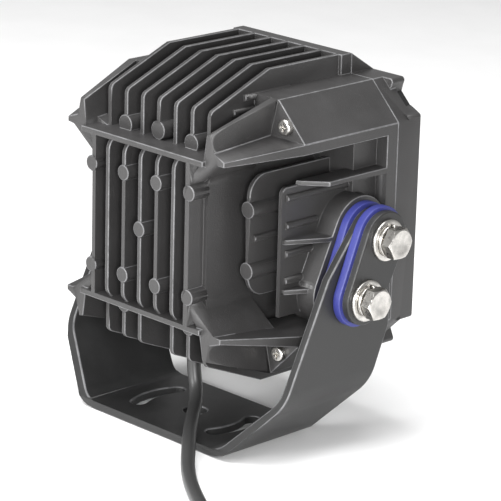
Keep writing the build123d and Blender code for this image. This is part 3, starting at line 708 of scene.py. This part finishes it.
# ------------------------------------------------------------------------------ sub-assemblies
@dataclass
class Studio:
    """Camera, soft lights and pale floor."""

    eye: Point = (-1.04170, 0.99572, 0.55343)
    forward: Point = (0.6766, -0.6725, -0.2999)
    roll: float = 1.52
    lens: float = 197.3
    sensor: float = 36.0
    shift: tuple[float, float] = (0.0016, -0.0038)
    sky: float = 0.4
    floor_half: float = 6.0

    def set_camera(self) -> None:
        """Make the camera and choose it for the scene."""
        ahead = Vector(self.forward).normalized()
        level = ahead.cross(Vector((0, 0, 1))).normalized()
        upright = level.cross(ahead)
        turn = math.radians(self.roll)
        right = level * math.cos(turn) + upright * math.sin(turn)
        up = upright * math.cos(turn) - level * math.sin(turn)
        data = bpy.data.cameras.new("studio_camera")
        data.lens = self.lens
        data.sensor_width = self.sensor
        data.shift_x, data.shift_y = self.shift
        data.clip_start = 0.05
        camera = bpy.data.objects.new("studio_camera", data)
        axes = Matrix((right, up, -ahead)).transposed().to_4x4()
        camera.matrix_world = Matrix.Translation(self.eye) @ axes
        bpy.context.scene.collection.objects.link(camera)
        bpy.context.scene.camera = camera

    def add_light(self, name: str, place: Point, aim: Point, size: float, power: float) -> None:
        """Add one square soft light.

        Args:
            name: its name.
            place: where it stands.
            aim: the point that it faces.
            size: its side.
            power: its power in watts.
        """
        data = bpy.data.lights.new(name, "AREA")
        data.size = size
        data.energy = power
        light = bpy.data.objects.new(name, data)
        facing = (Vector(aim) - Vector(place)).to_track_quat("-Z", "Y")
        light.matrix_world = Matrix.Translation(place) @ facing.to_matrix().to_4x4()
        bpy.context.scene.collection.objects.link(light)

    def set_sky(self) -> None:
        """Make an even white surround."""
        world = bpy.data.worlds.new("studio_sky")
        world.use_nodes = True
        ground = world.node_tree.nodes["Background"]
        ground.inputs["Color"].default_value = (1, 1, 1, 1)
        ground.inputs["Strength"].default_value = self.sky
        bpy.context.scene.world = world

    def build(self) -> None:
        """Make the whole studio."""
        bpy.context.scene.view_settings.view_transform = "Standard"
        self.set_camera()
        self.set_sky()
        self.add_light("top_soft", (0.1, 0.2, 1.3), (0, -0.02, 0.1), 1.1, 25)
        self.add_light("rear_soft", (0.1, 1.1, 0.4), (0, 0.04, 0.12), 0.5, 13)
        self.add_light("side_soft", (-0.75, 0.6, 0.3), (-0.04, 0.03, 0.12), 0.3, 9)
        form = bmesh.new()
        bmesh.ops.create_grid(form, x_segments=8, y_segments=8, size=self.floor_half)
        mesh = bpy.data.meshes.new("studio_floor")
        form.to_mesh(mesh)
        form.free()
        mesh.materials.append(STUDIO_FLOOR.material())
        floor = bpy.data.objects.new("studio_floor", mesh)
        bpy.context.scene.collection.objects.link(floor)


@dataclass
class Castings:
    """Housing, bezel and bracket, as rounded and coated copies of the CAD pieces."""

    cast_round: float = 0.0005
    plate_round: float = 0.0008

    def build(self) -> None:
        """Make the three pieces."""
        for node, body, finish, slot, width in (
            ("housing", Body.HEAD, CAST_BLACK, "housing_coat", self.cast_round),
            ("front_bezel", Body.HEAD, CAST_BLACK, "housing_coat", self.cast_round),
            ("bracket", Body.BRACKET, PLATE_BLACK, "bracket_coat", self.plate_round),
        ):
            form = rounded(cad_form(node), width)
            finish_piece(f"{node}_coated", form, body, finish, (node,), SMOOTH, weighted=True)


@dataclass
class TiltJoint:
    """Damper pads, clamp plates, washers and hex bolts on both ends of the tilt axis."""

    pad_round: float = 0.0007
    plate_round: float = 0.0006
    hex_flats: float = 0.016
    hex_high: float = 0.0064
    hex_chamfer: float = 0.0009
    bearing_high: float = 0.0004
    shank_r: float = 0.0049
    shank_long: float = 0.023
    washer_bore_r: float = 0.0053
    washer_edge: float = 0.0002
    spring_bore_r: float = 0.0054
    spring_rim_r: float = 0.0089
    spring_round: float = 0.0003
    spring_rise: float = 0.0007
    spring_gap: float = 14.0

    def build(self) -> None:
        """Make every piece of the joint."""
        for hand in Hand:
            word = hand.name.lower()
            for node in (f"inner_pad_{word}", f"outer_pad_{word}"):
                form = rounded(cad_form(node), self.pad_round)
                name = f"{node}_moulded"
                finish_piece(name, form, Body.HEAD, BLUE_PAD, (node,), SMOOTH, weighted=True)
            node = f"clamp_plate_{word}"
            form = rounded(cad_form(node), self.plate_round)
            name = f"{node}_coated"
            finish_piece(name, form, Body.HEAD, PLATE_BLACK, (node,), SMOOTH, weighted=True)
        for role in ROLES:
            node = f"{role}_bolts"
            bolts = gather(self.bolt(role, hand) for hand in Hand)
            finish_piece(f"{node}_forged", bolts, Body.HEAD, STAINLESS, (node,), 24.0)
        for node, make, ending in (
            ("plain_washers", self.plain_washer, "pressed"),
            ("spring_washers", self.spring_washer, "wound"),
        ):
            washers = gather(make(role, hand) for role in ROLES for hand in Hand)
            finish_piece(f"{node}_{ending}", washers, Body.HEAD, STAINLESS, (node,), SMOOTH)

    def seat(self, role: str, hand: Hand, node: str) -> Vector:
        """Find the point on a bolt's axis where a node ends outwards.

        Args:
            role: pivot or clamp.
            hand: the end of the tilt axis.
            node: the CAD node whose outer end is taken.

        Returns:
            The point at the node's outer end.
        """
        spot = middle(f"{role}_bolts")
        return Vector((hand.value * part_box(node)[1].x, spot.y, spot.z))

    def bolt(self, role: str, hand: Hand) -> BMesh:
        """Model one bolt: forged hex head with a turned chamfer, bearing face and shank.

        Args:
            role: pivot or clamp.
            hand: the end of the tilt axis.

        Returns:
            The bolt's form.
        """
        out = Vector((hand.value, 0, 0))
        top = self.seat(role, hand, f"{role}_bolts")
        foot = top - out * self.hex_high
        half = self.hex_flats / 2
        corner = half / math.cos(math.radians(30))
        high = self.hex_high
        flat = half * 0.95
        shares = [step / 6 for step in range(7)]
        rings = [(high - self.hex_chamfer * share, flat + (corner - flat) * share) for share in shares]
        profile = [(high - 0.0002, 0.0), (high - 0.0002, half * 0.6), (high, half * 0.68), *rings]
        profile += [(self.bearing_high, corner), (self.bearing_high, half * 0.93), (0.0, half * 0.93)]
        end = -self.shank_long
        profile += [(0.0, self.shank_r), (end + 0.001, self.shank_r), (end, self.shank_r * 0.8), (end, 0.0)]
        form = spun(profile, foot, out, 72)
        for vert in form.verts:
            offset = vert.co - foot
            along = offset.dot(out)
            spoke = offset - out * along
            turn = math.degrees(math.atan2(spoke.z, spoke.y)) % 60.0 - 30.0
            limit = half / math.cos(math.radians(turn))
            if spoke.length > limit:
                vert.co = foot + out * along + spoke * (limit / spoke.length)
        return form

    def plain_washer(self, role: str, hand: Hand) -> BMesh:
        """Model one pressed washer with a rounded and a burred rim.

        Args:
            role: pivot or clamp.
            hand: the end of the tilt axis.

        Returns:
            The washer's form.
        """
        out = Vector((hand.value, 0, 0))
        low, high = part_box("plain_washers")
        radius = (high.y - low.y - abs(middle("pivot_bolts").y - middle("clamp_bolts").y)) / 2
        foot = self.seat(role, hand, "clamp_plate_left")
        thick = self.seat(role, hand, "plain_washers").x * hand.value - foot.x * hand.value
        bore, edge = self.washer_bore_r, self.washer_edge
        profile = [
            (0.0, bore),
            (0.0, radius - edge),
            (1.5 * edge, radius),
            (thick - 3.0 * edge, radius),
            (thick - edge, radius - edge),
            (thick, radius - 3.5 * edge),
            (thick, bore + 1.5 * edge),
            (thick - 1.5 * edge, bore),
            (0.0, bore),
        ]
        return spun(profile, foot, out, 64)

    def spring_washer(self, role: str, hand: Hand) -> BMesh:
        """Model one split spring washer, wound with a small rise across its gap.

        Args:
            role: pivot or clamp.
            hand: the end of the tilt axis.

        Returns:
            The washer's form.
        """
        out = Vector((hand.value, 0, 0))
        foot = self.seat(role, hand, "plain_washers")
        thick = abs(self.seat(role, hand, "spring_washers").x - foot.x) - self.spring_rise
        up = Vector((0, 0, 1))
        form = bmesh.new()
        bore, rim = self.spring_bore_r, self.spring_rim_r
        corners = [(0.0, bore), (thick, bore), (thick, rim), (0.0, rim)]
        first = Matrix.Rotation(math.radians(self.spring_gap / 2), 3, out) @ up
        points = [form.verts.new(foot + out * along + first * radius) for along, radius in corners]
        runs = [form.edges.new(pair) for pair in zip(points, points[1:] + points[:1])]
        sweep = math.radians(360 - self.spring_gap)
        bmesh.ops.spin(form, geom=points + runs, cent=foot, axis=out, angle=sweep, steps=60)
        bmesh.ops.holes_fill(form, edges=[e for e in form.edges if e.is_boundary], sides=4)
        bmesh.ops.recalc_face_normals(form, faces=form.faces)
        for vert in form.verts:
            offset = vert.co - foot
            turn = math.atan2(out.dot(up.cross(offset)), offset.dot(up)) % math.tau
            vert.co += out * (self.spring_rise * turn / math.tau)
        return rounded(form, self.spring_round, 2, 50.0)


@dataclass
class LightUnit:
    """Lens, faceted reflectors and the clear domes over the LEDs, behind the bezel."""

    rows: int = 4
    pitch: float = 0.028
    mouth_r: float = 0.0128
    throat_r: float = 0.0042
    facets: int = 24
    rings: int = 5
    dome_r: float = 0.0021
    corner: float = 0.014
    lens_round: float = 0.0006

    def centres(self) -> list[tuple[float, float]]:
        """Lay the LEDs out in rows.

        Returns:
            X and Z of each LED.
        """
        start = -(self.rows - 1) / 2
        height = middle("reflector_tray").z
        steps = [self.pitch * (start + k) for k in range(self.rows)]
        return [(x, height + z) for x in steps for z in steps]

    def cell(self, x: float, z: float, front: float, rear: float) -> BMesh:
        """Model one reflector: a square of the front face around a parabolic bowl.

        Args:
            x: its centre along X.
            z: its centre along Z.
            front: Y of the tray's front face.
            rear: Y of the bowl's throat.

        Returns:
            The cell's form.
        """
        form = bmesh.new()
        span = rear - front
        rim_sq, throat_sq = self.mouth_r**2, self.throat_r**2
        points = []
        for step in range(self.rings + 1):
            share = step / self.rings
            radius = math.sqrt(rim_sq + (throat_sq - rim_sq) * share)
            points.append(form.verts.new((x + radius, front + span * share, z)))
        runs = [form.edges.new(pair) for pair in zip(points, points[1:])]
        centre = Vector((x, front, z))
        bmesh.ops.spin(
            form,
            geom=points + runs,
            cent=centre,
            axis=(0, 1, 0),
            angle=math.tau,
            steps=self.facets,
            use_merge=True,
        )
        bmesh.ops.remove_doubles(form, verts=form.verts, dist=WELD)
        rim = [e for e in form.edges if e.is_boundary and abs(e.verts[0].co.y - front) < SAME_PLACE]
        grown = bmesh.ops.extrude_edge_only(form, edges=rim)["geom"]
        half = self.pitch / 2
        for vert in (v for v in grown if isinstance(v, bmesh.types.BMVert)):
            spoke = vert.co - centre
            vert.co = centre + spoke * (half / max(abs(spoke.x), abs(spoke.z)))
        return form

    def tray(self) -> BMesh:
        """Model the whole reflector tray: its cells, cut corners and side walls.

        Returns:
            The tray's form.
        """
        low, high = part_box("reflector_tray")
        form = gather(self.cell(x, z, low.y, high.y - 0.0002) for x, z in self.centres())
        bmesh.ops.remove_doubles(form, verts=form.verts, dist=SAME_PLACE)
        reach = self.rows * self.pitch / 2
        spot = middle("reflector_tray")
        for vert in form.verts:
            for axis in (0, 2):
                away = vert.co[axis] - spot[axis]
                if abs(abs(away) - reach) < SAME_PLACE:
                    vert.co[axis] = spot[axis] + math.copysign(high[axis] - spot[axis], away)
        for sx in (1, -1):
            for sz in (1, -1):
                edge = Vector((spot.x + sx * (high.x - self.corner), spot.y, spot.z + sz * (high.z - spot.z)))
                bmesh.ops.bisect_plane(
                    form,
                    geom=form.verts[:] + form.edges[:] + form.faces[:],
                    plane_co=edge,
                    plane_no=Vector((sx, 0, sz)),
                    clear_outer=True,
                )
        border = [
            e for e in form.edges if e.is_boundary and all(abs(v.co.y - low.y) < SAME_PLACE for v in e.verts)
        ]
        walls = bmesh.ops.extrude_edge_only(form, edges=border)["geom"]
        wall_ends = [v for v in walls if isinstance(v, bmesh.types.BMVert)]
        bmesh.ops.translate(form, verts=wall_ends, vec=(0, high.y - low.y - 0.0004, 0))
        bmesh.ops.recalc_face_normals(form, faces=form.faces)
        if sum(f.normal.y for f in form.faces if abs(f.normal.y) > 0.99) > 0:
            bmesh.ops.reverse_faces(form, faces=form.faces)
        return form

    def domes(self) -> BMesh:
        """Model the clear dome over each LED.

        Returns:
            The form of all the domes.
        """
        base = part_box("led_chips")[0].y
        turns = [math.radians(15 * k) for k in range(7)]
        arc = [(self.dome_r * math.sin(turn), self.dome_r * math.cos(turn)) for turn in turns]
        profile = [(-0.0001, 0.0), (-0.0001, self.dome_r), *arc]
        ahead = Vector((0, -1, 0))
        return gather(spun(profile, Vector((x, base, z)), ahead, 24) for x, z in self.centres())

    def build(self) -> None:
        """Make the lens and the pieces that show through it."""
        tray = self.tray()
        node = "reflector_tray"
        finish_piece("reflector_bowls", tray, Body.HEAD, MIRROR_COAT, (node,), 8.0)
        finish_piece("led_domes", self.domes(), Body.HEAD, DOME_SILICONE, (), 40.0)
        lens = rounded(cad_form("lens"), self.lens_round)
        finish_piece(
            "lens_polished", lens, Body.HEAD, LENS_GLASS, ("lens",), SMOOTH, weighted=True
        )


@dataclass
class CableEntry:
    """Cable gland and vent plug under the housing."""

    edge: float = 0.0005
    nodes: tuple[str, ...] = ("gland_body", "gland_nut", "vent_plug")

    def build(self) -> None:
        """Make rounded copies of the moulded pieces."""
        for node in self.nodes:
            form = rounded(cad_form(node), self.edge)
            name = f"{node}_moulded"
            finish_piece(
                name, form, Body.HEAD, BLACK_PLASTIC, (node,), SMOOTH, weighted=True
            )


@dataclass
class SupplyCable:
    """The free lead, from the gland over the bracket's base to its connector."""

    diameter: float = 0.0078
    length: float = 0.2566
    points: tuple[Point, ...] = (
        (0.0, 0.0023, 0.0545),
        (0.0, 0.0023, 0.0340),
        (-0.0070, 0.0055, 0.0155),
        (-0.0240, 0.0260, 0.0105),
        (-0.0445, 0.0470, 0.0094),
        (-0.0645, 0.0665, 0.0041),
        (-0.0950, 0.0880, 0.0041),
        (-0.1280, 0.1060, 0.0041),
        (-0.1490, 0.1310, 0.0076),
        (-0.1570, 0.1560, 0.0076),
    )

    def route(self, thick: float) -> bpy.types.Mesh:
        """Make the route's smooth curve and read it as a mesh.

        Args:
            thick: radius of the tube, or 0 for the bare line.

        Returns:
            The mesh of the tube or of the line.
        """
        data = bpy.data.curves.new("lead_route", "CURVE")
        data.dimensions = "3D"
        spline = data.splines.new("NURBS")
        spline.points.add(len(self.points) - 1)
        for knot, point in zip(spline.points, self.points):
            knot.co = (*point, 1.0)
        spline.order_u = 3
        spline.use_endpoint_u = True
        spline.resolution_u = 16
        data.bevel_depth = thick
        data.bevel_resolution = 6
        data.use_fill_caps = thick > 0
        carrier = bpy.data.objects.new("lead_route", data)
        bpy.context.scene.collection.objects.link(carrier)
        bpy.context.view_layer.update()
        ready = carrier.evaluated_get(bpy.context.evaluated_depsgraph_get())
        mesh = bpy.data.meshes.new_from_object(ready)
        bpy.data.objects.remove(carrier)
        bpy.data.curves.remove(data)
        return mesh

    def build(self) -> None:
        """Make the lead as a tube that bends between the bracket and the tilting lamp."""
        line = self.route(0.0)
        mesh = self.route(self.diameter / 2)
        mesh.name = "supply_cable"
        form = bmesh.new()
        form.from_mesh(mesh)
        bmesh.ops.remove_doubles(form, verts=form.verts, dist=WELD)
        bmesh.ops.recalc_face_normals(form, faces=form.faces)
        form.to_mesh(mesh)
        form.free()
        mesh.shade_smooth()
        mesh.set_sharp_from_angle(angle=math.radians(SMOOTH))
        mesh.materials.clear()
        mesh.materials.append(SHEATH.material())
        tube = bpy.data.objects.new("supply_cable", mesh)
        bpy.context.scene.collection.objects.link(tube)
        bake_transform(tube, Body.BRACKET.value, Body.HEAD.value, start=self.points[2], end=self.points[0])
        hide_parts("power_cable")
        connector = Connector().build()


@dataclass
class Connector:
    """Two-way sealed connector on the lead's far end.

    Attributes:
        base: the lead's far end.
        heading: the way in which the connector points.
        shell_from: distance from the lead's end to the shell.
        seal_ridges: ridges around the wire seal.
        seal_neck: share of the seal's thickness left between ridges.
        latch_half: half of the latch's width.
        latch_root: how deep the latch goes into the shell.
        latch_rise: the latch's height over the shell, at distances from the lead's end.
        shell_round: rounding of the shell's edges.
        wedge_round: rounding of the wedge's edges.
        latch_round: rounding of the latch's edges.
        seal_round: rounding of the seal's ridges.
    """

    base: Point = (-0.1570, 0.1560, 0.0076)
    heading: Point = (-0.3048, 0.9524, 0.0)
    shell_from: float = 0.006
    seal_ridges: int = 3
    seal_neck: float = 0.86
    latch_half: float = 0.0026
    latch_root: float = 0.0012
    latch_rise: tuple[tuple[float, float], ...] = (
        (0.008, 0.0),
        (0.012, 0.0007),
        (0.022, 0.0005),
        (0.029, 0.0009),
        (0.0325, 0.0003),
    )
    shell_round: float = 0.0005
    wedge_round: float = 0.0003
    latch_round: float = 0.0003
    seal_round: float = 0.0002

    def seal(self) -> BMesh:
        """Model the wire seal with ridges around it.

        Returns:
            The seal's form.
        """
        form = cad_form("plug_seal")
        start, ahead = Vector(self.base), Vector(self.heading)
        slices = 2 * self.seal_ridges
        for step in range(1, slices):
            bmesh.ops.bisect_plane(
                form,
                geom=form.verts[:] + form.edges[:] + form.faces[:],
                plane_co=start + ahead * (self.shell_from * step / slices),
                plane_no=ahead,
            )
        for vert in form.verts:
            along = (vert.co - start).dot(ahead)
            station = round(along / self.shell_from * slices)
            core = start + ahead * along
            if station % 2 == 0:
                vert.co = core + (vert.co - core) * self.seal_neck
        return rounded(form, self.seal_round, 2, 20.0)

    def latch(self) -> BMesh:
        """Model the latch arm on top of the shell, with its raised thumb end.

        Returns:
            The latch's form.
        """
        ahead = Vector(self.heading)
        aside = ahead.cross(Vector((0, 0, 1)))
        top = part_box("plug_body")[1].z
        form = bmesh.new()
        low = -self.latch_root
        rings = []
        for along, high in self.latch_rise:
            centre = Vector(self.base) + ahead * along
            ring = []
            for side, height in ((-1, low), (1, low), (1, high), (-1, high)):
                spot = centre + aside * (self.latch_half * side)
                ring.append(form.verts.new((spot.x, spot.y, top + height)))
            rings.append([form.edges.new(pair) for pair in zip(ring, ring[1:] + ring[:1])])
        for first, second in zip(rings, rings[1:]):
            bmesh.ops.bridge_loops(form, edges=first + second)
        bmesh.ops.holes_fill(form, edges=[e for e in form.edges if e.is_boundary], sides=4)
        bmesh.ops.recalc_face_normals(form, faces=form.faces)
        return rounded(form, self.latch_round, 2, 40.0)

    def build(self) -> list[bpy.types.Object]:
        """Make the connector's pieces.

        Returns:
            Every piece of the connector.
        """
        shell = rounded(cad_form("plug_body"), self.shell_round)
        wedge = rounded(cad_form("plug_wedge"), self.wedge_round)
        pieces = []
        for name, form, finish, slot, nodes, weighted in (
            ("plug_shell", shell, BLACK_PLASTIC, "black_plastic", ("plug_body",), True),
            ("plug_wire_seal", self.seal(), BLACK_RUBBER, "black_rubber", ("plug_seal",), False),
            ("plug_lock_wedge", wedge, WEDGE, "wedge_plastic", ("plug_wedge",), True),
            ("plug_latch", self.latch(), BLACK_PLASTIC, "black_plastic", (), False),
        ):
            pieces.append(finish_piece(name, form, Body.BRACKET, finish, nodes, SMOOTH, weighted))
        return [*pieces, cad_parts["plug_sockets"]]


@dataclass
class CadDressing:
    """Finishes for the CAD pieces that show as they are or lie inside."""

    screw_round: float = 0.00015
    finishes: dict[str, Finish] = field(
        default_factory=lambda: {
            "lens_gasket": BLACK_RUBBER,
            "thermal_pad": PAD_GREY,
            "led_board": BOARD_WHITE,
            "led_chips": PHOSPHOR,
            "light_unit_screws": STAINLESS,
            "driver_board": BOARD_GREEN,
            "driver_components": COMPONENT,
            "driver_screws": STAINLESS,
            "gland_seal": BLACK_RUBBER,
            "supply_lead": SHEATH,
            "pivot_sleeves": STAINLESS,
            "clamp_sleeves": STAINLESS,
            "plug_sockets": TINNED,
        }
    )

    def build(self) -> None:
        """Give each CAD node its finish, and the case screws a rounded copy."""
        for node, finish in self.finishes.items():
            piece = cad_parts[node]
            if not piece.material_slots:
                piece.data.materials.append(None)
            for slot in piece.material_slots:
                slot.material = finish.material()
        node = "case_screws"
        name = f"{node}_turned"
        screws = rounded(cad_form(node), self.screw_round, 2, 40.0)
        finish_piece(name, screws, Body.HEAD, STAINLESS, (node,), 40.0, weighted=True)


def main() -> None:
    """Build the studio and every sub-assembly."""
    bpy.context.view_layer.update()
    Studio().build()
    for part in (SupplyCable(), Castings(), TiltJoint(), LightUnit(), CableEntry(), CadDressing()):
        part.build()
        log.info("%s is built", type(part).__name__)
    bpy.context.view_layer.update()


if __name__ == "__main__":
    main()
